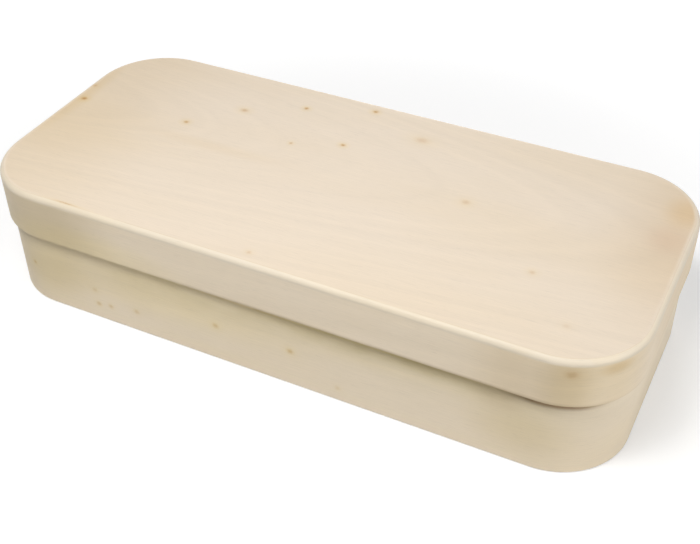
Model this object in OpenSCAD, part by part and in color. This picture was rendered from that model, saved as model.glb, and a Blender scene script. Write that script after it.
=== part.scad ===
// Rectangular bentwood box with a lid that slips over the body.
// Each half is one thin strip bent round a flat board and glued to the board's edge.
// The origin is at the middle of the underside, X runs along the length and Z is up.
// The ends of each strip are scarfed and lapped in the middle of the back, on the +Y side.

/* [Box] */
// Length over the lid
box_length = 250; // [180:1:320]
// Width over the lid
box_width = 112; // [90:1:160]
// Height of the closed box
box_height = 51.5; // [42:0.5:90]
// Radius of the corners, on the lid's outer face
corner_radius = 28; // [16:0.5:40]

/* [Lid] */
// Height of the lid, from its lower edge to its top
lid_height = 19.5; // [12:0.5:30]
// Thickness of the lid's bent strip
lid_band_thickness = 1.4; // [1.2:0.1:3]
// Thickness of the lid's board
lid_board_thickness = 4; // [3:0.25:6]
// Radius of the edge round the top, sanded over the strip and the board together
top_edge_radius = 2; // [0.8:0.1:4]
// Gap between the lid's strip and the body's strip, all round
lid_clearance = 0.3; // [0.25:0.05:0.8]

/* [Body] */
// Thickness of the body's bent strip
body_band_thickness = 1.4; // [1.2:0.1:3]
// Thickness of the base board
base_board_thickness = 4; // [3:0.25:8]

/* [Joints and edges] */
// Length of the lap where the ends of a strip meet
lap_length = 26; // [16:1:40]
// Thickness left at the tip of a scarfed end
lap_tip = 0.4; // [0.2:0.05:0.5]
// Thickness of the glue lines, in the laps and round the boards
glue_line = 0.1; // [0.05:0.05:0.2]
// Size of the flat that eases the other edges
edge_ease = 0.4; // [0.2:0.1:0.5]

/* [Hidden] */
$fn = 96;

// How far each face lies inside the lid's outer face
lid_inner_inset = lid_band_thickness;
body_outer_inset = lid_inner_inset + lid_clearance;
body_inner_inset = body_outer_inset + body_band_thickness;
lid_board_inset = lid_inner_inset + glue_line;
base_board_inset = body_inner_inset + glue_line;

// The lid's board rests on the rim of the body's strip
rim_height = box_height - lid_board_thickness;
lid_skirt_z = box_height - lid_height;

// The centres of the corners are shared by every face
corner_x = box_length / 2 - corner_radius;
corner_y = box_width / 2 - corner_radius;
corner_centres = [
    [corner_x, corner_y],
    [-corner_x, corner_y],
    [-corner_x, -corner_y],
    [corner_x, -corner_y]
];

quarter_turn = 90;
cut_margin = 1;
base_colour = "#d9c7a8";
body_colour = "#dccaac";
lid_colour = "#e8d8bd";
lid_band_colour = "#e2d1b4";

// Distance from a corner's centre to the face at an inset
function face_radius(inset) = corner_radius - inset;

// Plan of a board whose edge lies at an inset
module rounded_plan(inset) {
    square([2 * (corner_x + face_radius(inset)), 2 * corner_y], center = true);
    square([2 * corner_x, 2 * (corner_y + face_radius(inset))], center = true);
    for (centre = corner_centres)
        translate(centre)
            circle(r = face_radius(inset));
}

// Sweeps a section round the box: its x is the distance from a corner's centre, its y is the height
module swept_round() {
    for (i = [0:len(corner_centres) - 1]) {
        run = i % 2 == 0 ? 2 * corner_y : 2 * corner_x;
        translate(corner_centres[i]) {
            rotate(i * quarter_turn)
                rotate_extrude(angle = quarter_turn)
                    children();
            rotate([quarter_turn, 0, i * quarter_turn])
                linear_extrude(run)
                    children();
        }
    }
}

// Section of a strip with eased edges, from one height to another
module strip_section(outer_inset, inner_inset, low, high) {
    outer = face_radius(outer_inset);
    inner = face_radius(inner_inset);
    polygon([
        [inner, low + edge_ease],
        [inner + edge_ease, low],
        [outer - edge_ease, low],
        [outer, low + edge_ease],
        [outer, high - edge_ease],
        [outer - edge_ease, high],
        [inner + edge_ease, high],
        [inner, high - edge_ease]
    ]);
}

// Section of the lid's strip before its top edge is rounded, eased at its lower edge
module lid_section() {
    outer = face_radius(0);
    inner = face_radius(lid_inner_inset);
    polygon([
        [inner, lid_skirt_z + edge_ease],
        [inner + edge_ease, lid_skirt_z],
        [outer - edge_ease, lid_skirt_z],
        [outer, lid_skirt_z + edge_ease],
        [outer, box_height],
        [inner, box_height]
    ]);
}

// What is sanded away to round the edge of the top
module top_edge_waste() {
    swept_round()
        translate([face_radius(top_edge_radius), box_height - top_edge_radius])
            difference() {
                square(top_edge_radius + cut_margin);
                circle(r = top_edge_radius);
            }
}

// Slit between the scarfed ends of a strip, in the middle of the back
module lap_slit(outer_inset, inner_inset, low, high) {
    outer_y = corner_y + face_radius(outer_inset);
    inner_y = corner_y + face_radius(inner_inset);
    start_x = -lap_length / 2;
    end_x = lap_length / 2;
    translate([0, 0, low - cut_margin])
        linear_extrude(high - low + 2 * cut_margin)
            polygon([
                [start_x, outer_y + cut_margin],
                [start_x, outer_y - lap_tip],
                [end_x, inner_y + lap_tip - glue_line],
                [end_x, inner_y - cut_margin],
                [end_x + glue_line, inner_y - cut_margin],
                [end_x + glue_line, inner_y + lap_tip],
                [start_x + glue_line, outer_y - lap_tip + glue_line],
                [start_x + glue_line, outer_y + cut_margin]
            ]);
}

module base_board() {
    color(base_colour)
        linear_extrude(base_board_thickness)
            rounded_plan(base_board_inset);
}

module body_band() {
    color(body_colour)
        difference() {
            swept_round()
                strip_section(body_outer_inset, body_inner_inset, 0, rim_height);
            lap_slit(body_outer_inset, body_inner_inset, 0, rim_height);
        }
}

module lid_board() {
    color(lid_colour)
        difference() {
            translate([0, 0, rim_height])
                linear_extrude(lid_board_thickness)
                    rounded_plan(lid_board_inset);
            top_edge_waste();
        }
}

module lid_band() {
    color(lid_band_colour)
        difference() {
            swept_round()
                lid_section();
            lap_slit(0, lid_inner_inset, lid_skirt_z, box_height);
            top_edge_waste();
        }
}

base_board();
body_band();
lid_board();
lid_band();
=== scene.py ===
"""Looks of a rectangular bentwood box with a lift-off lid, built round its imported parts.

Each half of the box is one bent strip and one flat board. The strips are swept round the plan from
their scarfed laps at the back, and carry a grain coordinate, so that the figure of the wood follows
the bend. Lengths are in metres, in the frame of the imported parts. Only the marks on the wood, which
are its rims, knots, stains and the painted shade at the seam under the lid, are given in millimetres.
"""

import logging
import math
from dataclasses import dataclass, field
from enum import Enum
from typing import Union

import bmesh
import bpy
from mathutils import Euler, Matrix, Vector


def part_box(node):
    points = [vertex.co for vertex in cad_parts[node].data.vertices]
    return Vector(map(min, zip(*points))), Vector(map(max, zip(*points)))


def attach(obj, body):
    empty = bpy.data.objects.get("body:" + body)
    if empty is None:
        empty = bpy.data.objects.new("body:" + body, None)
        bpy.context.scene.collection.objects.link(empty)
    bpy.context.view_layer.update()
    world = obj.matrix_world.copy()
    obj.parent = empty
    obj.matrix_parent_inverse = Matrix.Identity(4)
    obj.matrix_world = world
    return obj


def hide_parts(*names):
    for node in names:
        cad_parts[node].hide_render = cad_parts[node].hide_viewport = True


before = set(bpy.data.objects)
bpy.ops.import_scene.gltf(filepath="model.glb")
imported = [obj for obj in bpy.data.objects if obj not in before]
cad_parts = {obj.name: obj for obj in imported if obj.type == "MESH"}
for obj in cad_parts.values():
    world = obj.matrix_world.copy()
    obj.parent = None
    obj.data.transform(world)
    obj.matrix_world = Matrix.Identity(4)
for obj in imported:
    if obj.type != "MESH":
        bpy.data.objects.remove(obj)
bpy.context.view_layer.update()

LOG = logging.getLogger("bentwood_box")
MM = 0.001
GRAIN_LAYER = "strip_grain"
WHITE = (1.0, 1.0, 1.0, 1.0)
RISING = (0.0, 1.0)
FALLING = (1.0, 0.0)
NOISE_MEAN = 0.5

Colour = tuple[float, float, float, float]
Triple = tuple[float, float, float]
Span = tuple[float, float]
NodeInput = Union[bpy.types.NodeSocket, float, tuple]


class Side(Enum):
    """The four sides of the box, in the order in which a strip runs round it from its lap."""

    BACK = 0
    RIGHT = 1
    FRONT = 2
    LEFT = 3


class GrainSource(Enum):
    """Where a finish reads the direction of its grain."""

    BOARD = "object"
    STRIP = "attribute"


@dataclass(frozen=True)
class BoxPlan:
    """Plan of the box over the lid: a rectangle with round corners, which every piece shares."""

    half_length: float
    half_width: float
    corner_radius: float = 28 * MM

    @property
    def corner_x(self) -> float:
        """Distance of the corners' centres from the middle, along the length."""
        return self.half_length - self.corner_radius

    @property
    def corner_y(self) -> float:
        """Distance of the corners' centres from the middle, across the width."""
        return self.half_width - self.corner_radius

    @property
    def quarter_run(self) -> float:
        """Length of one bend, along the lid's outer face."""
        return math.pi / 2 * self.corner_radius

    @property
    def whole_run(self) -> float:
        """Length once round, along the lid's outer face."""
        return 4 * (self.corner_x + self.corner_y + self.quarter_run)

    def run_at(self, side: Side, along: float) -> float:
        """Length along a strip, from the middle of the back, to a place on one side.

        Args:
            side: the side of the box.
            along: the place's X on the front or back, or its Y on an end.

        Returns:
            The run in metres.
        """
        bend = self.quarter_run
        to_right = self.corner_x + bend
        to_front = to_right + 2 * self.corner_y + bend
        to_left = to_front + 2 * self.corner_x + bend
        runs = {
            Side.BACK: along if along >= 0 else self.whole_run + along,
            Side.RIGHT: to_right + self.corner_y - along,
            Side.FRONT: to_front + self.corner_x - along,
            Side.LEFT: to_left + self.corner_y + along,
        }
        return runs[side]


@dataclass
class SectionSweep:
    """Carries the edges of a section round the plan and notes how far each point has come.

    Attributes:
        mesh: the bmesh to work in.
        plan: the plan to follow.
        edges: the edges of the current section.
        run: the length along the strip to the current section.
        face_radius: distance of the strip's outer face from the corners' centres.
        straight_step: about how long one step of a straight side is.
        bend_steps: the steps of one bend.
        layer: each point's run, height, and depth, which is 0 on the outer face and negative behind it.
    """

    mesh: bmesh.types.BMesh
    plan: BoxPlan
    edges: list[bmesh.types.BMEdge]
    run: float
    face_radius: float
    straight_step: float = 4 * MM
    bend_steps: int = 18
    layer: bmesh.types.BMLayerItem = field(init=False)

    def __post_init__(self) -> None:
        """Notes the grain of the first section."""
        self.layer = self.mesh.verts.layers.float_vector.new(GRAIN_LAYER)
        self._note({v for e in self.edges for v in e.verts}, Vector((0, 1, 0)), self.plan.corner_y)

    def _note(self, verts: set[bmesh.types.BMVert], outward: Vector, centre: float) -> None:
        """Writes run, height and depth to the points of one section.

        Args:
            verts: the section's points.
            outward: the direction of the outer face.
            centre: distance of the corners' centres along that direction.
        """
        for v in verts:
            depth = v.co.dot(outward) - centre - self.face_radius
            v[self.layer] = Vector((self.run, v.co.z, depth))

    def _extrude(self) -> set[bmesh.types.BMVert]:
        """Extrudes the section's edges in place and makes the copies the current section.

        Returns:
            The new points.
        """
        made = bmesh.ops.extrude_edge_only(self.mesh, edges=self.edges)["geom"]
        verts = {g for g in made if isinstance(g, bmesh.types.BMVert)}
        self.edges = [
            g for g in made if isinstance(g, bmesh.types.BMEdge) and all(v in verts for v in g.verts)
        ]
        return verts

    def straight(self, along: Vector, distance: float, outward: Vector, centre: float) -> None:
        """Carries the section along a straight side.

        Args:
            along: the direction of travel.
            distance: how far it goes.
            outward: the direction of the outer face there.
            centre: distance of the corners' centres along that direction.
        """
        count = max(1, round(distance / self.straight_step))
        for _ in range(count):
            verts = self._extrude()
            bmesh.ops.translate(self.mesh, verts=list(verts), vec=along * (distance / count))
            self.run += distance / count
            self._note(verts, outward, centre)

    def bend(self, centre: Vector) -> None:
        """Carries the section round one corner, clockwise as seen from above.

        Args:
            centre: the corner's centre.
        """
        turn = -math.pi / 2 / self.bend_steps
        for _ in range(self.bend_steps):
            made = bmesh.ops.spin(
                self.mesh, geom=self.edges, cent=centre, axis=(0, 0, 1), angle=turn, steps=1
            )["geom_last"]
            verts = {g for g in made if isinstance(g, bmesh.types.BMVert)}
            self.edges = [g for g in made if isinstance(g, bmesh.types.BMEdge)]
            self.run += self.plan.quarter_run / self.bend_steps
            for v in verts:
                flat = Vector((v.co.x - centre.x, v.co.y - centre.y, 0))
                v[self.layer] = Vector((self.run, v.co.z, flat.length - self.face_radius))

    def once_round(self, lap: float, gap: float) -> None:
        """Carries the section from the lap at the back, round the four corners, to the lap again.

        Args:
            lap: length of the lap, the middle of which is the middle of the back.
            gap: length at each end of the lap in which the strip steps to its full thickness.
        """
        cx, cy = self.plan.corner_x, self.plan.corner_y
        x, y = Vector((1, 0, 0)), Vector((0, 1, 0))
        to_corner = cx - lap / 2 - gap
        self.straight(x, lap, y, cy)
        self.straight(x, gap, y, cy)
        self.straight(x, to_corner, y, cy)
        self.bend(Vector((cx, cy, 0)))
        self.straight(-y, 2 * cy, x, cx)
        self.bend(Vector((cx, -cy, 0)))
        self.straight(-x, 2 * cx, -y, cy)
        self.bend(Vector((-cx, -cy, 0)))
        self.straight(y, 2 * cy, -x, cx)
        self.bend(Vector((-cx, cy, 0)))
        self.straight(x, to_corner, y, cy)
        self.straight(x, gap, y, cy)
        self.straight(x, lap, y, cy)


def round_points(
    mesh: bmesh.types.BMesh, points: list[bmesh.types.BMVert], radius: float, segments: int
) -> None:
    """Rounds corners of a flat face.

    Args:
        mesh: the face's bmesh.
        points: the corners.
        radius: the radius of the arcs.
        segments: the segments of each arc.
    """
    bmesh.ops.bevel(
        mesh,
        geom=points,
        offset=radius,
        segments=segments,
        profile=0.5,
        affect="VERTICES",
        material=-1,
    )


def finished_object(mesh: bmesh.types.BMesh, name: str, crease_degrees: float = 35.0) -> bpy.types.Object:
    """Turns a bmesh into a shaded object at the origin.

    Args:
        mesh: the bmesh, which is freed.
        name: the object's name.
        crease_degrees: edges that turn more than this stay sharp.

    Returns:
        The new object.
    """
    bmesh.ops.recalc_face_normals(mesh, faces=mesh.faces)
    for f in mesh.faces:
        f.smooth = True
    for e in mesh.edges:
        e.smooth = e.calc_face_angle(math.pi) < math.radians(crease_degrees)
    data = bpy.data.meshes.new(name)
    mesh.to_mesh(data)
    mesh.free()
    piece = bpy.data.objects.new(name, data)
    bpy.context.scene.collection.objects.link(piece)
    weighted = piece.modifiers.new("even_shading", "WEIGHTED_NORMAL")
    weighted.keep_sharp = True
    return piece


@dataclass
class BentStrip:
    """One thin strip bent round the plan, with scarfed ends that lap in the middle of the back.

    Attributes:
        name: the piece's name.
        plan: the plan of the box.
        inset: distance of the outer face inside the plan.
        thickness: thickness of the strip.
        low: height of the lower edge.
        high: height of the upper edge.
        top_edge: radius of the outer edge at the top.
        eased_edge: radius of the other eased edges.
        lap_length: length of the lap.
        lap_tip: thickness of the two ends at their tips.
        glue_line: gap between the lapped ends, and between a strip and its board.
        end_slant: slope at the top of the outer end, which keeps the points there apart.
        round_segments: segments of the outer edge at the top.
        ease_segments: segments of the other eased edges.
        inner_top_eased: whether the inner edge at the top is eased too.
        merge_within: points that are closer than this become one.
    """

    name: str
    plan: BoxPlan
    inset: float
    thickness: float
    low: float
    high: float
    top_edge: float
    eased_edge: float = 0.4 * MM
    lap_length: float = 26 * MM
    lap_tip: float = 0.4 * MM
    glue_line: float = 0.1 * MM
    end_slant: float = 0.1
    round_segments: int = 16
    ease_segments: int = 3
    inner_top_eased: bool = False
    merge_within: float = 0.001 * MM

    @property
    def outer(self) -> float:
        """Distance of the outer face from the corners' centres."""
        return self.plan.corner_radius - self.inset

    def _section(self, mesh: bmesh.types.BMesh, x: float) -> list[bmesh.types.BMEdge]:
        """Draws the strip's section on the back of the box.

        The section starts as a plate that is thick enough for the rounded edge at the top, which
        may reach past the strip into the board, and is then cut to the strip's thickness.

        Args:
            mesh: the bmesh to draw in.
            x: where along the back the section stands.

        Returns:
            The section's edges.
        """
        face_y = self.plan.corner_y + self.outer
        plate = max(self.thickness, self.top_edge) + self.eased_edge
        height = self.high - self.low
        half_height = (self.low + self.high) / 2
        bmesh.ops.create_grid(mesh, x_segments=1, y_segments=1, size=0.5)
        for v in mesh.verts:
            depth = plate * (0.5 - v.co.x)
            v.co = Vector((x, face_y - depth, self.low + height * (0.5 + v.co.y)))
        outside = [v for v in mesh.verts if v.co.y > face_y - plate / 2]
        for v in outside:
            if v.co.z > half_height:
                round_points(mesh, [v], self.top_edge, self.round_segments)
            else:
                round_points(mesh, [v], self.eased_edge, self.ease_segments)
        bmesh.ops.bisect_plane(
            mesh,
            geom=mesh.verts[:] + mesh.edges[:] + mesh.faces[:],
            plane_co=Vector((0, face_y - self.thickness, 0)),
            plane_no=Vector((0, -1, 0)),
            clear_outer=True,
        )
        inside = sorted(mesh.verts, key=lambda v: v.co.y)[:2]
        for v in inside:
            if self.inner_top_eased or v.co.z < half_height:
                round_points(mesh, [v], self.eased_edge, self.ease_segments)
        face = mesh.faces[:][0]
        edges = list(face.edges)
        bmesh.ops.delete(mesh, geom=[face], context="FACES_ONLY")
        return edges

    def _ceiling(self, depth: float) -> float:
        """Height of the rounded edge at a depth behind the outer face."""
        short = max(self.top_edge - depth, 0.0)
        return self.high - self.top_edge + math.sqrt(self.top_edge**2 - short**2)

    def _scarf(self, sweep: SectionSweep, start: float) -> None:
        """Cuts the two ends of the strip thin across the lap, the first from inside, the last from outside.

        Points that move outwards come under the rounded edge at the top, so they are lowered to it.

        Args:
            sweep: the sweep that made the strip.
            start: the run at which the strip starts.
        """
        slope = (self.thickness - 2 * self.lap_tip) / self.lap_length
        reach = self.lap_length + self.glue_line / 2
        for v in sweep.mesh.verts:
            run, _, depth = v[sweep.layer]
            from_start = run - start
            to_end = sweep.run - run
            if from_start < reach:
                left = self.lap_tip + slope * from_start
                over = -left - depth
                if over > 0:
                    v.co.y += over
                    v.co.z = min(v.co.z, self._ceiling(left) - self.end_slant * over)
            elif to_end < reach:
                left = self.lap_tip + slope * to_end - self.glue_line
                over = depth + self.thickness - left
                if over > 0:
                    v.co.y -= over

    def build(self) -> bpy.types.Object:
        """Sweeps, scarfs and closes the strip.

        Returns:
            The strip's object.
        """
        mesh = bmesh.new()
        start = -self.lap_length / 2
        first = self._section(mesh, start)
        sweep = SectionSweep(mesh, self.plan, first, start, self.outer)
        sweep.once_round(self.lap_length, self.glue_line)
        self._scarf(sweep, start)
        for loop in (first, sweep.edges):
            bmesh.ops.contextual_create(mesh, geom=loop)
        bmesh.ops.remove_doubles(mesh, verts=mesh.verts, dist=self.merge_within)
        return finished_object(mesh, self.name)


@dataclass
class FlatBoard:
    """A flat board with round corners, glued inside a strip.

    Attributes:
        name: the piece's name.
        plan: the plan of the box.
        inset: distance of the board's edge inside the plan.
        low: height of the underside.
        high: height of the upper face.
        top_edge: radius of the rounded edge at the top of the strip, which may reach onto the board.
        corner_segments: segments of one corner.
        edge_rings: rings across the share of the rounded edge that is on the board.
    """

    name: str
    plan: BoxPlan
    inset: float
    low: float
    high: float
    top_edge: float = 0.0
    corner_segments: int = 18
    edge_rings: int = 6

    def build(self) -> bpy.types.Object:
        """Cuts the board's plan, gives it its thickness and rounds the edge that shows.

        Returns:
            The board's object.
        """
        mesh = bmesh.new()
        length = 2 * (self.plan.half_length - self.inset)
        width = 2 * (self.plan.half_width - self.inset)
        bmesh.ops.create_grid(mesh, x_segments=1, y_segments=1, size=0.5)
        bmesh.ops.scale(mesh, vec=Vector((length, width, 1)), verts=mesh.verts)
        bmesh.ops.translate(mesh, vec=Vector((0, 0, self.high)), verts=mesh.verts)
        round_points(mesh, mesh.verts[:], self.plan.corner_radius - self.inset, self.corner_segments)
        top = mesh.faces[:][0]
        made = bmesh.ops.extrude_face_region(mesh, geom=[top], use_keep_orig=True)["geom"]
        under = [g for g in made if isinstance(g, bmesh.types.BMVert)]
        bmesh.ops.translate(mesh, vec=Vector((0, 0, self.low - self.high)), verts=under)
        self._round_edge(mesh, top)
        return finished_object(mesh, self.name)

    def _round_edge(self, mesh: bmesh.types.BMesh, top: bmesh.types.BMFace) -> None:
        """Lowers rings of the top along the arc that the lid's edge was sanded to.

        Args:
            mesh: the board's bmesh.
            top: its top face.
        """
        reach = self.top_edge - self.inset
        if reach <= 0:
            return
        ring = reach / self.edge_rings
        for i in range(self.edge_rings):
            from_flat = reach - i * ring
            drop = self.top_edge - math.sqrt(self.top_edge**2 - from_flat**2)
            made = bmesh.ops.inset_region(mesh, faces=[top], thickness=ring, use_even_offset=True)["faces"]
            rim = {v for f in made for v in f.verts} - set(top.verts)
            bmesh.ops.translate(mesh, vec=Vector((0, 0, -drop)), verts=list(rim))


class NodeBench:
    """A short way to add and join the nodes of one tree."""

    def __init__(self, tree: bpy.types.NodeTree) -> None:
        """Keeps the tree to work on."""
        self.tree = tree

    def add(self, kind: str, **settings: object) -> bpy.types.Node:
        """Adds a node.

        Args:
            kind: the node's type, without its ShaderNode prefix.
            settings: properties of the node.

        Returns:
            The node.
        """
        node = self.tree.nodes.new("ShaderNode" + kind)
        for name, value in settings.items():
            setattr(node, name, value)
        return node

    def join(self, value: NodeInput, socket: bpy.types.NodeSocket) -> None:
        """Links an input from a socket, or sets it to a constant.

        Args:
            value: the socket to link from, or the constant.
            socket: the input.
        """
        if isinstance(value, bpy.types.NodeSocket):
            self.tree.links.new(value, socket)
        else:
            socket.default_value = value

    def feed(self, node: bpy.types.Node, **inputs: NodeInput) -> bpy.types.Node:
        """Joins a node's inputs by name, with _ for a space.

        Args:
            node: the node.
            inputs: constants, or sockets to link from.

        Returns:
            The same node.
        """
        for name, value in inputs.items():
            self.join(value, node.inputs[name.replace("_", " ")])
        return node

    def math(self, operation: str, *values: NodeInput) -> bpy.types.NodeSocket:
        """Adds a Math node.

        Args:
            operation: the node's operation.
            values: its inputs, in order.

        Returns:
            Its output.
        """
        node = self.add("Math", operation=operation)
        for socket, value in zip(node.inputs, values):
            self.join(value, socket)
        return node.outputs[0]

    def product(self, first: NodeInput, *others: NodeInput) -> bpy.types.NodeSocket:
        """Multiplies two or more values.

        Args:
            first: the first value.
            others: the rest.

        Returns:
            The product.
        """
        total = first
        for other in others:
            total = self.math("MULTIPLY", total, other)
        return total

    def vector_math(self, operation: str, *values: NodeInput) -> bpy.types.NodeSocket:
        """Adds a Vector Math node.

        Args:
            operation: the node's operation.
            values: its inputs, in order.

        Returns:
            Its vector, or the value of a length.
        """
        node = self.add("VectorMath", operation=operation)
        for socket, value in zip(node.inputs, values):
            self.join(value, socket)
        return node.outputs["Value" if operation == "LENGTH" else "Vector"]

    def mix(self, share: NodeInput, first: NodeInput, second: NodeInput) -> bpy.types.NodeSocket:
        """Mixes two colours.

        Args:
            share: how much of the second.
            first: the first colour.
            second: the second colour.

        Returns:
            The mixed colour.
        """
        node = self.add("Mix", data_type="RGBA")
        colours = [s for s in node.inputs if s.type == "RGBA"]
        for socket, value in zip([node.inputs[0], *colours], (share, first, second)):
            self.join(value, socket)
        return next(s for s in node.outputs if s.type == "RGBA")

    def tinted(self, share: NodeInput, colour: NodeInput, tint: NodeInput) -> bpy.types.NodeSocket:
        """Multiplies a colour by a tint.

        Args:
            share: how much of the tint.
            colour: the colour.
            tint: the tint.

        Returns:
            The tinted colour.
        """
        tinted = self.mix(share, colour, tint)
        tinted.node.blend_type = "MULTIPLY"
        return tinted

    def noise(
        self, vector: bpy.types.NodeSocket, scale: Triple, detail: float, roughness: float = 0.5
    ) -> bpy.types.Node:
        """Adds a noise that is stretched by its scale.

        Args:
            vector: where it reads.
            scale: repeats per metre along each axis.
            detail: octaves.
            roughness: strength of the finer octaves.

        Returns:
            The node, with a value of about 0 to 1 and a colour.
        """
        place = self.vector_math("MULTIPLY", vector, scale)
        return self.feed(self.add("TexNoise"), Vector=place, Scale=1.0, Detail=detail, Roughness=roughness)

    def ramp(
        self, value: bpy.types.NodeSocket, span: tuple[NodeInput, NodeInput], levels: Span = RISING
    ) -> bpy.types.NodeSocket:
        """Maps a span of a value smoothly to two levels and what is between them.

        Args:
            value: the value to map.
            span: where the ramp starts and ends.
            levels: the results there.

        Returns:
            The mapped value.
        """
        node = self.add("MapRange", interpolation_type="SMOOTHSTEP")
        self.feed(node, Value=value, From_Min=span[0], From_Max=span[1], To_Min=levels[0], To_Max=levels[1])
        return node.outputs[0]


class GroupBench(NodeBench):
    """A bench on a new shader node group, with the nodes of the group's inputs and outputs."""

    def __init__(self, name: str, inputs: dict[str, str], outputs: dict[str, str]) -> None:
        """Makes the group.

        Args:
            name: the group's name.
            inputs: socket names to types.
            outputs: socket names to types.
        """
        super().__init__(bpy.data.node_groups.new(name, "ShaderNodeTree"))
        for direction, sockets in (("INPUT", inputs), ("OUTPUT", outputs)):
            for socket, kind in sockets.items():
                self.tree.interface.new_socket(
                    name=socket, in_out=direction, socket_type="NodeSocket" + kind
                )
        self.source = self.tree.nodes.new("NodeGroupInput")
        self.sink = self.tree.nodes.new("NodeGroupOutput")


@dataclass(frozen=True)
class PaleWoodEffect:
    """Figure of a pale, close-grained wood: soft clouds, arched growth lines, fibres and short pores.

    Attributes:
        cloud_scale: repeats of the clouds per metre, along the grain, across it and into the wood.
        cloud_span: values of the noise between which the tone goes from pale to warm.
        wander: how far the growth lines and fibres stray.
        heart_depth: depth of the heart of the tree below the face.
        growth_scale: repeats of the growth lines per metre.
        growth_roughness: strength of the finer growth lines.
        fibre_scale: repeats of the fibres per metre.
        fibre_roughness: strength of the finer fibres.
        pore_scale: repeats of the pores per metre.
        pore_span: values of the noise between which a pore begins.
        pore_shade: darkness of a pore, as a share of that of the fibres.
        pore_depth: depth of a pore, as a share of the height of the fibres.
        smoothest: the roughness of the surface between the fibres.
        rougher: how much rougher the fibres are.
    """

    cloud_scale: Triple = (8, 24, 24)
    cloud_span: Span = (0.32, 0.68)
    wander: float = 5 * MM
    heart_depth: float = 50 * MM
    growth_scale: float = 420.0
    growth_roughness: float = 0.55
    fibre_scale: Triple = (60, 3000, 3000)
    fibre_roughness: float = 0.6
    pore_scale: Triple = (230, 4600, 4600)
    pore_span: Span = (0.62, 0.74)
    pore_shade: float = 0.6
    pore_depth: float = 0.7
    smoothest: float = 0.50
    rougher: float = 0.14

    def group(self) -> bpy.types.NodeTree:
        """Builds the group, whose vector has X along the grain, Y across it and Z into the wood.

        Returns:
            The group.
        """
        bench = GroupBench(
            "pale_wood",
            {
                "Vector": "Vector",
                "Pale": "Color",
                "Warm": "Color",
                "Heart": "Float",
                "Arch": "Float",
                "Figure": "Float",
                "Fibre": "Float",
            },
            {"Color": "Color", "Roughness": "Float", "Height": "Float"},
        )
        given = bench.source.outputs
        vector = given["Vector"]
        stray = bench.noise(vector, self.cloud_scale, detail=2.0).outputs["Color"]
        grain = bench.vector_math("MULTIPLY_ADD", stray, (0.0, self.wander, self.wander), vector)

        parts = bench.feed(bench.add("SeparateXYZ"), Vector=grain).outputs
        beside = bench.math("SUBTRACT", parts["Y"], given["Heart"])
        below = bench.math("MULTIPLY_ADD", parts["X"], given["Arch"], self.heart_depth)
        squares = [bench.math("POWER", leg, 2.0) for leg in (beside, below)]
        ring = bench.math("SQRT", bench.math("ADD", *squares))
        growth = bench.feed(
            bench.add("TexNoise", noise_dimensions="1D"),
            W=ring,
            Scale=self.growth_scale,
            Detail=3.0,
            Roughness=self.growth_roughness,
        )

        cloud = bench.ramp(bench.noise(vector, self.cloud_scale, detail=3.0).outputs[0], self.cloud_span)
        fibre = bench.noise(grain, self.fibre_scale, detail=2.0, roughness=self.fibre_roughness).outputs[0]
        pore = bench.ramp(bench.noise(grain, self.pore_scale, detail=1.0).outputs[0], self.pore_span)

        grown = bench.product(bench.math("SUBTRACT", growth.outputs[0], NOISE_MEAN), given["Figure"])
        fibred = bench.product(bench.math("SUBTRACT", fibre, NOISE_MEAN), given["Fibre"])
        pored = bench.product(pore, bench.product(given["Fibre"], -self.pore_shade))
        value = bench.math("ADD", bench.math("ADD", grown, fibred), pored)
        shade = bench.feed(
            bench.add("HueSaturation"),
            Value=bench.math("ADD", value, 1.0),
            Color=bench.mix(cloud, given["Pale"], given["Warm"]),
        )
        bench.feed(
            bench.sink,
            Color=shade.outputs[0],
            Roughness=bench.math("MULTIPLY_ADD", fibre, self.rougher, self.smoothest),
            Height=bench.math("SUBTRACT", fibre, bench.product(pore, self.pore_depth)),
        )
        return bench.tree


@dataclass(frozen=True)
class SpotEffect:
    """One oval spot as three masks, for knots and for stains; the spans are shares of its radius.

    Attributes:
        core: where the mask of the middle falls off.
        ring: where the mask of the whole spot falls off.
        halo: where the mask of its soft surround falls off.
    """

    core: Span = (0.15, 0.75)
    ring: Span = (0.4, 1.3)
    halo: Span = (0.3, 3.0)

    def group(self) -> bpy.types.NodeTree:
        """Builds the group.

        Returns:
            The group.
        """
        bench = GroupBench(
            "oval_spot",
            {"Vector": "Vector", "Centre": "Vector", "Per Radius": "Vector", "Strength": "Float"},
            {"Core": "Float", "Ring": "Float", "Halo": "Float"},
        )
        given = bench.source.outputs
        away = bench.vector_math("SUBTRACT", given["Vector"], given["Centre"])
        reach = bench.vector_math("LENGTH", bench.vector_math("MULTIPLY", away, given["Per Radius"]))
        for name, span in (("Core", self.core), ("Ring", self.ring), ("Halo", self.halo)):
            mask = bench.product(bench.ramp(reach, span, FALLING), given["Strength"])
            bench.join(mask, bench.sink.inputs[name])
        return bench.tree


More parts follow.
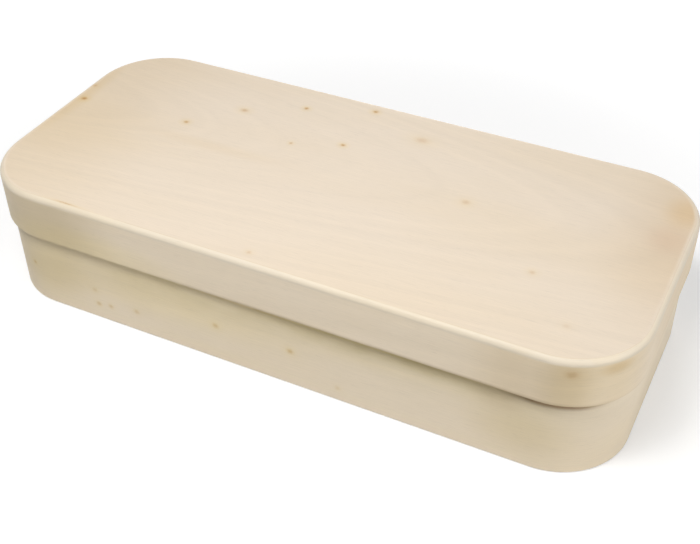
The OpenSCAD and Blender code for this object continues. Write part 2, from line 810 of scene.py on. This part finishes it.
@dataclass(frozen=True)
class RimEffect:
    """Mask that rises towards the outline of the box, for sanded edges, for glue joints and for a painted
    highlight tint on the lid's top edge.

    Attributes:
        fade: length over which the mask comes in above its height.
    """

    fade: float = 1 * MM

    def group(self) -> bpy.types.NodeTree:
        """Builds the group.

        Returns:
            The group.
        """
        bench = GroupBench(
            "rim",
            {"Vector": "Vector", "Corner": "Vector", "Start": "Float", "End": "Float", "Height": "Float"},
            {"Mask": "Float"},
        )
        given = bench.source.outputs
        quarter = bench.vector_math("ABSOLUTE", given["Vector"])
        beyond = bench.vector_math("SUBTRACT", quarter, given["Corner"])
        outside = bench.vector_math("MAXIMUM", beyond, (0, 0, 0))
        reach = bench.vector_math("LENGTH", bench.vector_math("MULTIPLY", outside, (1, 1, 0)))
        parts = bench.feed(bench.add("SeparateXYZ"), Vector=given["Vector"]).outputs
        above = bench.math("SUBTRACT", parts["Z"], given["Height"])
        rising = bench.ramp(reach, (given["Start"], given["End"]))
        bench.feed(bench.sink, Mask=bench.product(rising, bench.ramp(above, (0.0, self.fade))))
        return bench.tree


@dataclass(frozen=True)
class WoodGroups:
    """The node groups that the finishes share."""

    wood: bpy.types.NodeTree = field(default_factory=lambda: PaleWoodEffect().group())
    spots: bpy.types.NodeTree = field(default_factory=lambda: SpotEffect().group())
    rims: bpy.types.NodeTree = field(default_factory=lambda: RimEffect().group())


@dataclass(frozen=True)
class Rim:
    """A change of the wood along the outline of the box, in millimetres.

    Attributes:
        start_inset: inset from the outline at which it starts.
        end_inset: inset at which it is full.
        height: height above which it shows.
        tint: share of each colour that it leaves.
        patchy: how much of it soft patches leave out.
        polish: how far handling has lowered the roughness there.
        clean: share of the stains that handling has taken away.
    """

    start_inset: float
    end_inset: float
    height: float
    tint: Colour
    patchy: float = 0.0
    polish: float = 0.0
    clean: float = 0.0


@dataclass(frozen=True)
class Knot:
    """A pin knot or, drawn out along the grain, a scratch, in millimetres.

    Attributes:
        along: place along a board, or along a side of a strip.
        across: place across a board, or height on a strip.
        size: radius across the grain.
        strength: how dark it is, from 0 to 1.
        stretch: its length over its width.
        side: the side of a strip that it is on.
    """

    along: float
    across: float
    size: float
    strength: float
    stretch: float = 1.15
    side: Side = Side.FRONT


@dataclass(frozen=True)
class Stain:
    """A soft tint of the wood, in millimetres.

    Attributes:
        along: place along a board, or along a side of a strip.
        across: place across a board, or height on a strip.
        half_along: radius along the grain.
        half_across: radius across the grain.
        tint: share of each colour that it leaves.
        strength: how much of the tint there is, from 0 to 1.
        side: the side of a strip that it is on.
    """

    along: float
    across: float
    half_along: float
    half_across: float
    tint: Colour
    strength: float
    side: Side = Side.FRONT


@dataclass(frozen=True)
class SeamShade:
    """Painted shade on a strip along part of its length, at the seam under the lid's lower edge, in
    millimetres.

    Attributes:
        height: height at which it is strongest.
        reach: how far below that height it starts.
        tint: share of each colour that it leaves.
        along: place of its middle along a side.
        half_along: half of its length.
        side: the side that it is on.
        edge: how far above that height it ends.
        patchy: how much of it soft patches leave out.
    """

    height: float
    reach: float
    tint: Colour
    along: float
    half_along: float
    side: Side = Side.FRONT
    edge: float = 0.5
    patchy: float = 0.0


@dataclass(frozen=True)
class WoodFinish:
    """Bare sanded wood of one piece: its tone, its figure and its marks.

    Attributes:
        name: the material's name.
        source: where the grain's coordinate comes from.
        plan: the plan of the box.
        pale: the paler tone.
        warm: the warmer tone.
        heart: place of the heart of the tree across the grain.
        arch: how fast the depth of the heart changes along the grain.
        knots: the knots and scratches.
        stains: the stains.
        seam_shades: the painted shades at the seam under the lid's edge.
        rims: the changes along the outline.
        figure: contrast of the growth lines.
        fibre: contrast of the fibres.
        core_tint: share of each colour that the middle of a knot leaves.
        ring_tint: share that a whole knot leaves.
        halo_tint: share that its surround leaves.
        bump_distance: height of the fibres.
        specular: the shader's specular level.
        ragged_scale: repeats per metre of the unevenness of a knot's outline.
        ragged_by: size of that unevenness.
        patch_scale: repeats of the soft patches per metre.
        patch_span: values of the noise between which a patch begins.
        seam_shade_depths: depths between which a painted seam shade begins, so that it stays on the outer
            face.
        seam_shade_fade: where a painted seam shade fades out along the strip, in halves of its length.
    """

    name: str
    source: GrainSource
    plan: BoxPlan
    pale: Colour
    warm: Colour
    heart: float
    arch: float
    knots: tuple[Knot, ...] = ()
    stains: tuple[Stain, ...] = ()
    seam_shades: tuple[SeamShade, ...] = ()
    rims: tuple[Rim, ...] = ()
    figure: float = 0.08
    fibre: float = 0.11
    core_tint: Colour = (0.74, 0.60, 0.46, 1.0)
    ring_tint: Colour = (0.84, 0.73, 0.59, 1.0)
    halo_tint: Colour = (0.97, 0.93, 0.86, 1.0)
    bump_distance: float = 0.02 * MM
    specular: float = 0.35
    ragged_scale: float = 1100.0
    ragged_by: float = 0.6 * MM
    patch_scale: Triple = (60, 150, 150)
    patch_span: Span = (0.4, 0.6)
    seam_shade_depths: Span = (-0.8 * MM, -0.3 * MM)
    seam_shade_fade: Span = (0.5, 1.5)

    def _grain(self, bench: NodeBench) -> bpy.types.NodeSocket:
        """Adds the grain's coordinate: X along the grain, Y across it and Z into the wood.

        Args:
            bench: the material's bench.

        Returns:
            The coordinate.
        """
        if self.source is GrainSource.BOARD:
            return bench.add("TexCoord").outputs["Object"]
        return bench.add("Attribute", attribute_name=GRAIN_LAYER).outputs["Vector"]

    def _spot(
        self,
        bench: NodeBench,
        spots: bpy.types.NodeTree,
        vector: bpy.types.NodeSocket,
        mark: Union[Knot, Stain],
        radii: Span,
    ) -> bpy.types.NodeOutputs:
        """Places one spot group in the material.

        Args:
            bench: the material's bench.
            spots: the spot group.
            vector: the grain's coordinate.
            mark: the knot or stain.
            radii: its radii along and across the grain, in millimetres.

        Returns:
            The outputs of the group's node.
        """
        along = mark.along * MM
        if self.source is GrainSource.STRIP:
            along = self.plan.run_at(mark.side, along)
        node = bench.feed(
            bench.add("Group", node_tree=spots),
            Vector=vector,
            Centre=(along, mark.across * MM, 0.0),
            Per_Radius=(1 / (radii[0] * MM), 1 / (radii[1] * MM), 0.0),
            Strength=mark.strength,
        )
        return node.outputs

    def _patches(
        self, bench: NodeBench, vector: bpy.types.NodeSocket, patchy: float
    ) -> bpy.types.NodeSocket:
        """Adds a mask of soft patches that leave out part of a mark."""
        noise = bench.noise(vector, self.patch_scale, detail=2.0).outputs[0]
        return bench.ramp(noise, self.patch_span, (1.0 - patchy, 1.0))

    def _seam_shade_mask(
        self, bench: NodeBench, vector: bpy.types.NodeSocket, line: SeamShade
    ) -> bpy.types.NodeSocket:
        """Adds the mask of one painted seam shade.

        Args:
            bench: the material's bench.
            vector: the grain's coordinate.
            line: the painted seam shade.

        Returns:
            The mask.
        """
        low, peak, high = (h * MM for h in (line.height - line.reach, line.height, line.height + line.edge))
        parts = bench.feed(bench.add("SeparateXYZ"), Vector=vector).outputs
        rising = bench.ramp(parts["Y"], (low, peak))
        ending = bench.ramp(parts["Y"], (peak, high), FALLING)
        outside = bench.ramp(parts["Z"], self.seam_shade_depths)
        half_run = self.plan.whole_run / 2
        beside = bench.math("SUBTRACT", parts["X"], self.plan.run_at(line.side, line.along * MM))
        away = bench.math("ABSOLUTE", bench.math("WRAP", beside, half_run, -half_run))
        fading = bench.ramp(away, tuple(share * line.half_along * MM for share in self.seam_shade_fade), FALLING)
        patches = self._patches(bench, vector, line.patchy)
        return bench.product(rising, ending, outside, patches, fading)

    def _rimmed(self, bench: NodeBench, rims: bpy.types.NodeTree, rim: Rim) -> bpy.types.NodeSocket:
        """Adds the mask of one rim.

        Args:
            bench: the material's bench.
            rims: the rim group.
            rim: the rim.

        Returns:
            The mask.
        """
        place = bench.add("TexCoord").outputs["Object"]
        node = bench.feed(
            bench.add("Group", node_tree=rims),
            Vector=place,
            Corner=(self.plan.corner_x, self.plan.corner_y, 0.0),
            Start=self.plan.corner_radius - rim.start_inset * MM,
            End=self.plan.corner_radius - rim.end_inset * MM,
            Height=rim.height * MM,
        )
        return bench.product(node.outputs["Mask"], self._patches(bench, place, rim.patchy))

    def _ragged(self, bench: NodeBench, vector: bpy.types.NodeSocket) -> bpy.types.NodeSocket:
        """Shakes the grain's coordinate a little, so that the outlines of knots are uneven.

        Args:
            bench: the material's bench.
            vector: the grain's coordinate.

        Returns:
            The shaken coordinate.
        """
        shake = bench.noise(vector, (self.ragged_scale,) * 3, detail=1.0).outputs["Color"]
        centred = bench.vector_math("SUBTRACT", vector, (self.ragged_by / 2,) * 3)
        return bench.vector_math("MULTIPLY_ADD", shake, (self.ragged_by,) * 3, centred)

    def material(self, groups: WoodGroups) -> bpy.types.Material:
        """Builds the finish.

        Args:
            groups: the node groups that the finishes share.

        Returns:
            The material.
        """
        made = bpy.data.materials.new(self.name)
        made.use_nodes = True
        bench = NodeBench(made.node_tree)
        vector = self._grain(bench)
        wood = bench.feed(
            bench.add("Group", node_tree=groups.wood),
            Vector=vector,
            Pale=self.pale,
            Warm=self.warm,
            Heart=self.heart,
            Arch=self.arch,
            Figure=self.figure,
            Fibre=self.fibre,
        ).outputs
        colour = wood["Color"]
        rough = wood["Roughness"]
        for stain in self.stains:
            spot = self._spot(bench, groups.spots, vector, stain, (stain.half_along, stain.half_across))
            colour = bench.tinted(spot["Halo"], colour, stain.tint)
        # Painted shade at the seam under the lid's edge.
        for line in self.seam_shades:
            colour = bench.tinted(self._seam_shade_mask(bench, vector, line), colour, line.tint)
        for rim in self.rims:
            mask = self._rimmed(bench, groups.rims, rim)
            if rim.clean > 0:
                colour = bench.mix(bench.product(mask, rim.clean), colour, wood["Color"])
            if rim.polish > 0:
                rough = bench.math("SUBTRACT", rough, bench.product(mask, rim.polish))
            colour = bench.tinted(mask, colour, rim.tint)
        ragged = self._ragged(bench, vector)
        for knot in self.knots:
            spot = self._spot(bench, groups.spots, ragged, knot, (knot.size * knot.stretch, knot.size))
            colour = bench.tinted(spot["Halo"], colour, self.halo_tint)
            colour = bench.tinted(spot["Ring"], colour, self.ring_tint)
            colour = bench.tinted(spot["Core"], colour, self.core_tint)
        bump = bench.feed(
            bench.add("Bump"), Height=wood["Height"], Distance=self.bump_distance, Strength=1.0
        )
        bench.feed(
            made.node_tree.nodes["Principled BSDF"],
            Base_Color=colour,
            Roughness=rough,
            Normal=bump.outputs[0],
            Specular_IOR_Level=self.specular,
        )
        return made


@dataclass
class BoxHalf:
    """One half of the box: a strip and a board, which ride on one body.

    Attributes:
        plan: the plan of the box.
        groups: the node groups that the finishes share.
        body: the body that the two pieces ride on.
    """

    plan: BoxPlan
    groups: WoodGroups
    body: str

    def _dress(self, piece: bpy.types.Object, finish: WoodFinish) -> None:
        """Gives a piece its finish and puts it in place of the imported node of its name.

        Args:
            piece: the new piece, named after its node with _wood added.
            finish: its finish.
        """
        node = piece.name.removesuffix("_wood")
        piece.data.materials.append(finish.material(self.groups))
        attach(piece, self.body)
        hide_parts(node)
        LOG.info("%s: %d faces on %s", piece.name, len(piece.data.polygons), self.body)


@dataclass
class Lid(BoxHalf):
    """The lid: a strip that slips over the body's, and a board flush with its upper edge.

    Attributes:
        top_edge: radius of the sanded edge round the top.
    """

    body: str = "lid"
    top_edge: float = 2.0 * MM

    def build(self) -> None:
        """Builds and dresses the lid's board and strip."""
        strip_low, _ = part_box("lid_band")
        board_low, board_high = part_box("lid_board")
        thickness = self.plan.half_length - board_high.x - BentStrip.glue_line
        board = FlatBoard(
            name="lid_board_wood",
            plan=self.plan,
            inset=thickness,
            low=board_low.z,
            high=board_high.z,
            top_edge=self.top_edge,
        )
        strip = BentStrip(
            name="lid_band_wood",
            plan=self.plan,
            inset=0.0,
            thickness=thickness,
            low=strip_low.z,
            high=board_high.z,
            top_edge=self.top_edge,
        )
        self._dress(board.build(), self._board_finish())
        self._dress(strip.build(), self._strip_finish())

    def _board_finish(self) -> WoodFinish:
        """Gives the finish of the lid's board.

        Returns:
            The finish.
        """
        return WoodFinish(
            "lid_board_finish",
            GrainSource.BOARD,
            self.plan,
            pale=(0.812, 0.694, 0.558, 1.0),
            warm=(0.803, 0.676, 0.521, 1.0),
            heart=14 * MM,
            arch=0.11,
            core_tint=(0.76, 0.61, 0.47, 1.0),
            ring_tint=(0.87, 0.76, 0.60, 1.0),
            halo_tint=(0.975, 0.93, 0.79, 1.0),
            knots=(
                Knot(-8.3, 50.0, 1.25, 0.85),
                Knot(-34.5, 40.5, 1.1, 0.85),
                Knot(16.7, 38.6, 2.5, 0.3, 1.5),
                Knot(-56.2, 28.6, 1.6, 0.5, 1.3),
                Knot(-9.2, 22.6, 1.1, 0.85),
                Knot(-27.8, 15.3, 0.8, 0.6),
                Knot(-72.5, 11.1, 1.2, 0.75),
                Knot(-120.0, 8.6, 1.3, 1.0),
                Knot(47.0, 8.0, 1.8, 0.32),
                Knot(81.3, -19.4, 1.3, 0.3),
                Knot(-8.0, -50.4, 1.1, 0.3),
                Knot(99.7, -39.9, 1.5, 0.14),
                Knot(-122.5, 19.1, 1.2, 0.4),
                Knot(-81.5, -54.15, 0.4, 0.5, 14.0),
            ),
            stains=(
                Stain(119.0, 35.0, 3.5, 4.5, (0.97, 0.88, 0.72, 1.0), 0.8),
                Stain(117.0, 17.0, 3.5, 4.0, (0.97, 0.90, 0.86, 1.0), 0.7),
                Stain(-122.0, 12.0, 2.0, 14.0, (0.94, 0.88, 0.74, 1.0), 0.7),
                Stain(-55.0, 0.5, 14.0, 1.6, (0.97, 0.94, 0.88, 1.0), 0.6),
                Stain(-125.0, -10.0, 22.0, 50.0, (0.94, 0.91, 0.84, 1.0), 1.0),
                Stain(126.0, 24.0, 13.0, 24.0, (0.92, 0.87, 0.79, 1.0), 1.0),
            ),
            rims=(
                Rim(2.9, 1.6, 48.0, WHITE, 0.2, 0.1, 1.0),
                Rim(1.62, 1.45, 0.0, (0.92, 0.88, 0.80, 1.0), 0.7),
            ),
        )

    def _strip_finish(self) -> WoodFinish:
        """Gives the finish of the lid's strip.

        Returns:
            The finish.
        """
        return WoodFinish(
            "lid_band_finish",
            GrainSource.STRIP,
            self.plan,
            pale=(0.885, 0.765, 0.605, 1.0),
            warm=(0.875, 0.745, 0.56, 1.0),
            heart=20 * MM,
            arch=0.03,
            knots=(
                Knot(106.9, 45.9, 2.1, 0.38, 1.4),
                Knot(-58.0, 41.0, 0.9, 0.5, side=Side.BACK),
                Knot(71.0, 37.5, 1.1, 0.4, side=Side.BACK),
                Knot(14.0, 43.5, 0.9, 0.45, side=Side.LEFT),
            ),
            stains=(
                Stain(-92.0, 44.0, 12.0, 20.0, (0.80, 0.78, 0.71, 1.0), 1.0),
                Stain(-80.0, 34.0, 20.0, 4.0, (0.99, 0.98, 0.86, 1.0), 1.0),
                Stain(92.0, 42.0, 8.0, 20.0, (0.90, 0.87, 0.80, 1.0), 1.0),
                Stain(106.0, 40.0, 4.2, 14.0, (0.86, 0.83, 0.73, 1.0), 1.0),
                Stain(120.0, 42.0, 7.0, 14.0, (1.0, 0.97, 0.88, 1.0), 1.0),
                Stain(121.5, 47.0, 3.0, 1.3, (0.88, 0.80, 0.64, 1.0), 0.8),
                Stain(12.0, 42.0, 24.0, 20.0, (0.93, 0.89, 0.82, 1.0), 1.0, Side.RIGHT),
            ),
            # Painted shade along the lid's lower edge, over the seam on the front.
            seam_shades=(SeamShade(32.0, 0.5, (0.64, 0.59, 0.50, 1.0), 35.0, 75.0, edge=1.8, patchy=0.2),),
            # Sanded top edge, tinted cooler as painted highlight colour, so that the edge highlight reads
            # whiter.
            rims=(Rim(2.6, 1.0, 48.6, (0.925, 0.945, 0.965, 1.0), 0.2, 0.1, 1.0),),
        )


@dataclass
class Body(BoxHalf):
    """The body: a strip that the lid's slips over, and the base board inside its lower edge."""

    body: str = "body"

    def build(self) -> None:
        """Builds and dresses the body's strip and the base board."""
        strip_low, strip_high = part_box("body_band")
        board_low, board_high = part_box("base_board")
        inset = self.plan.half_length - strip_high.x
        thickness = strip_high.x - board_high.x - BentStrip.glue_line
        strip = BentStrip(
            name="body_band_wood",
            plan=self.plan,
            inset=inset,
            thickness=thickness,
            low=strip_low.z,
            high=strip_high.z,
            top_edge=BentStrip.eased_edge,
            round_segments=BentStrip.ease_segments,
            inner_top_eased=True,
        )
        board = FlatBoard(
            name="base_board_wood",
            plan=self.plan,
            inset=inset + thickness,
            low=board_low.z,
            high=board_high.z,
        )
        self._dress(strip.build(), self._strip_finish())
        self._dress(board.build(), self._board_finish())

    def _strip_finish(self) -> WoodFinish:
        """Gives the finish of the body's strip.

        Returns:
            The finish.
        """
        return WoodFinish(
            "body_band_finish",
            GrainSource.STRIP,
            self.plan,
            pale=(0.88, 0.761, 0.592, 1.0),
            warm=(0.865, 0.735, 0.54, 1.0),
            heart=8 * MM,
            arch=0.02,
            core_tint=(0.80, 0.69, 0.46, 1.0),
            ring_tint=(0.89, 0.82, 0.61, 1.0),
            halo_tint=(0.985, 0.965, 0.88, 1.0),
            stains=(
                Stain(-40.0, 18.0, 22.0, 4.0, (0.99, 0.98, 0.89, 1.0), 1.0),
                Stain(94.0, 16.0, 9.0, 6.0, (0.92, 0.90, 0.80, 1.0), 1.0),
                Stain(85.0, 27.0, 4.5, 3.0, (0.91, 0.89, 0.87, 1.0), 1.0),
                Stain(-96.0, 17.0, 9.0, 7.0, (0.90, 0.88, 0.76, 1.0), 1.0),
            ),
            # Painted shade on the body under the lid's lower edge, the shadow of the lid's overhang: broad
            # and soft on the front, darkest at its right corner, fainter at the back and left end.
            seam_shades=(
                SeamShade(32.2, 18.0, (0.86, 0.84, 0.69, 1.0), 0.0, 92.0, patchy=0.2),
                SeamShade(30.6, 1.6, (0.97, 0.96, 0.83, 1.0), 20.0, 60.0, edge=1.2, patchy=0.2),
                SeamShade(30.6, 1.6, (0.86, 0.81, 0.74, 1.0), -12.0, 18.0, edge=1.2, patchy=0.2),
                SeamShade(30.6, 1.6, (0.87, 0.85, 0.87, 1.0), 72.0, 20.0, edge=1.2, patchy=0.2),
                SeamShade(32.2, 10.5, (0.78, 0.76, 0.66, 1.0), 55.0, 42.0, patchy=0.2),
                SeamShade(30.4, 2.2, (0.42, 0.33, 0.25, 1.0), 103.0, 14.0, edge=1.2, patchy=0.2),
                SeamShade(30.6, 1.2, (0.80, 0.74, 0.58, 1.0), 120.0, 7.0, edge=1.2, patchy=0.2),
                SeamShade(31.8, 5.0, (0.80, 0.76, 0.65, 1.0), 20.0, 110.0, Side.BACK, patchy=0.4),
                SeamShade(31.8, 3.0, (0.84, 0.80, 0.70, 1.0), 0.0, 60.0, Side.LEFT, patchy=0.4),
            ),
            knots=(
                Knot(-74.8, 6.9, 1.4, 0.45),
                Knot(-69.2, 7.6, 1.3, 0.4),
                Knot(-57.3, 9.4, 1.4, 0.35),
                Knot(-75.5, 13.5, 1.4, 0.25),
                Knot(-22.3, 16.0, 1.5, 0.45),
                Knot(8.2, 15.8, 1.6, 0.55),
                Knot(26.6, 5.8, 1.3, 0.22),
                Knot(-104.0, 16.7, 1.2, 0.5),
                Knot(44.0, 22.0, 1.0, 0.5, side=Side.BACK),
                Knot(-83.0, 11.5, 1.2, 0.45, side=Side.BACK),
                Knot(-9.0, 16.0, 1.0, 0.5, side=Side.LEFT),
            ),
        )

    def _board_finish(self) -> WoodFinish:
        """Gives the finish of the base board.

        Returns:
            The finish.
        """
        return WoodFinish(
            "base_board_finish",
            GrainSource.BOARD,
            self.plan,
            pale=(0.84, 0.72, 0.565, 1.0),
            warm=(0.825, 0.695, 0.52, 1.0),
            heart=-20 * MM,
            arch=-0.09,
            rims=(Rim(3.32, 3.15, -2.0, (0.82, 0.75, 0.62, 1.0), 0.3),),
            knots=(
                Knot(-66.0, 23.0, 1.2, 0.7),
                Knot(19.0, -31.0, 0.9, 0.5),
                Knot(78.0, 9.0, 1.3, 0.6),
                Knot(-22.0, -9.0, 0.9, 0.4),
                Knot(96.0, -37.0, 1.0, 0.5),
                Knot(-101.0, -20.0, 1.1, 0.35),
            ),
        )


@dataclass(frozen=True)
class Lamp:
    """A soft square lamp that faces the box.

    Attributes:
        name: the lamp's name.
        place: where it hangs.
        size: its side.
        power: its power in watts.
    """

    name: str
    place: Triple
    size: float
    power: float

    def hang(self) -> None:
        """Adds the lamp to the scene."""
        data = bpy.data.lights.new(self.name, "AREA")
        data.shape = "SQUARE"
        data.size = self.size
        data.energy = self.power
        lamp = bpy.data.objects.new(self.name, data)
        lamp.location = Vector(self.place)
        lamp.rotation_euler = (-Vector(self.place)).to_track_quat("-Z", "Y").to_euler()
        bpy.context.scene.collection.objects.link(lamp)


@dataclass
class Studio:
    """A pale floor, soft lamps and the camera at the photograph's angle.

    Attributes:
        floor_half: half of the floor's side.
        floor_gap: how far the floor lies under the box.
        floor_tone: the floor's grey.
        floor_roughness: its roughness.
        floor_glow: how white the floor looks by itself next to the box.
        white_span: distances from the box's middle between which the floor turns white.
        world_light: strength of the even light from all round.
        lamps: the lamps.
        camera_place: where the camera stands.
        camera_turn: its turns about X, Y and Z, in degrees.
        camera_lens: its focal length, in millimetres.
        sensor_width: width of its sensor, in millimetres.
        clip_start: distance at which its view starts.
    """

    floor_half: float = 4.0
    floor_gap: float = 0.3 * MM
    floor_tone: float = 0.65
    floor_roughness: float = 0.9
    floor_glow: float = 0.42
    white_span: Span = (0.12, 0.40)
    world_light: float = 0.15
    lamps: tuple[Lamp, ...] = (
        Lamp("left_key", (-0.084, -0.229, 0.548), 0.15, 1.42),
        Lamp("right_key", (0.021, -0.243, 0.548), 0.15, 1.0),
        Lamp("right_fill", (0.817, -0.219, 0.308), 0.6, 2.97),
        Lamp("back_fill", (-0.226, 0.844, 0.218), 0.4, 2.2),
    )
    camera_place: Vector = field(default_factory=lambda: Vector((158.16, -303.80, 286.47)) * MM)
    camera_turn: Triple = (50.970, 0.556, 26.368)
    camera_lens: float = 58.35
    sensor_width: float = 36.0
    clip_start: float = 10 * MM

    def build(self) -> None:
        """Builds the floor, the world, the lamps and the camera."""
        self._floor()
        self._world()
        for lamp in self.lamps:
            lamp.hang()
        self._camera()
        bpy.context.scene.view_settings.view_transform = "Standard"

    @staticmethod
    def _white_to_camera(bench: NodeBench) -> bpy.types.NodeSocket:
        """Adds a mask that is 1 for the rays that the camera, mirrors or glass look along.

        Args:
            bench: the bench of the tree to add it to.

        Returns:
            The mask.
        """
        path = bench.add("LightPath").outputs
        seen = bench.math("MAXIMUM", path["Is Camera Ray"], path["Is Glossy Ray"])
        return bench.math("MAXIMUM", seen, path["Is Transmission Ray"])

    def _floor(self) -> None:
        """Lays a pale floor that keeps the shadow and turns white away from the box."""
        mesh = bmesh.new()
        bmesh.ops.create_grid(mesh, x_segments=1, y_segments=1, size=self.floor_half)
        bmesh.ops.translate(mesh, vec=Vector((0, 0, -self.floor_gap)), verts=mesh.verts)
        floor = finished_object(mesh, "studio_floor")
        made = bpy.data.materials.new("floor_finish")
        made.use_nodes = True
        bench = NodeBench(made.node_tree)
        reach = bench.vector_math("LENGTH", bench.add("TexCoord").outputs["Object"])
        level = bench.ramp(reach, self.white_span, (self.floor_glow, 1.0))
        bench.feed(
            made.node_tree.nodes["Principled BSDF"],
            Base_Color=(self.floor_tone, self.floor_tone, self.floor_tone, 1.0),
            Roughness=self.floor_roughness,
            Specular_IOR_Level=0.0,
            Emission_Color=WHITE,
            Emission_Strength=bench.product(self._white_to_camera(bench), level),
        )
        floor.data.materials.append(made)

    def _world(self) -> None:
        """Sets an even world that looks white to the camera."""
        world = bpy.data.worlds.new("studio_world")
        world.use_nodes = True
        bpy.context.scene.world = world
        bench = NodeBench(world.node_tree)
        strength = bench.ramp(self._white_to_camera(bench), RISING, (self.world_light, 1.0))
        bench.feed(world.node_tree.nodes["Background"], Color=WHITE, Strength=strength)

    def _camera(self) -> None:
        """Sets up the camera."""
        data = bpy.data.cameras.new("photo_camera")
        data.sensor_fit = "HORIZONTAL"
        data.sensor_width = self.sensor_width
        data.lens = self.camera_lens
        data.clip_start = self.clip_start
        camera = bpy.data.objects.new("photo_camera", data)
        camera.location = self.camera_place
        camera.rotation_euler = Euler([math.radians(a) for a in self.camera_turn], "XYZ")
        bpy.context.scene.collection.objects.link(camera)
        bpy.context.scene.camera = camera


def write_sizes() -> None:
    bpy.context.view_layer.update()


def main() -> None:
    """Builds the two halves of the box and the studio."""
    logging.basicConfig(level=logging.INFO, format="%(name)s: %(message)s")
    _, lid_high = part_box("lid_band")
    plan = BoxPlan(lid_high.x, lid_high.y)
    groups = WoodGroups()
    Lid(plan, groups).build()
    Body(plan, groups).build()
    Studio().build()
    write_sizes()


if __name__ == "__main__":
    main()
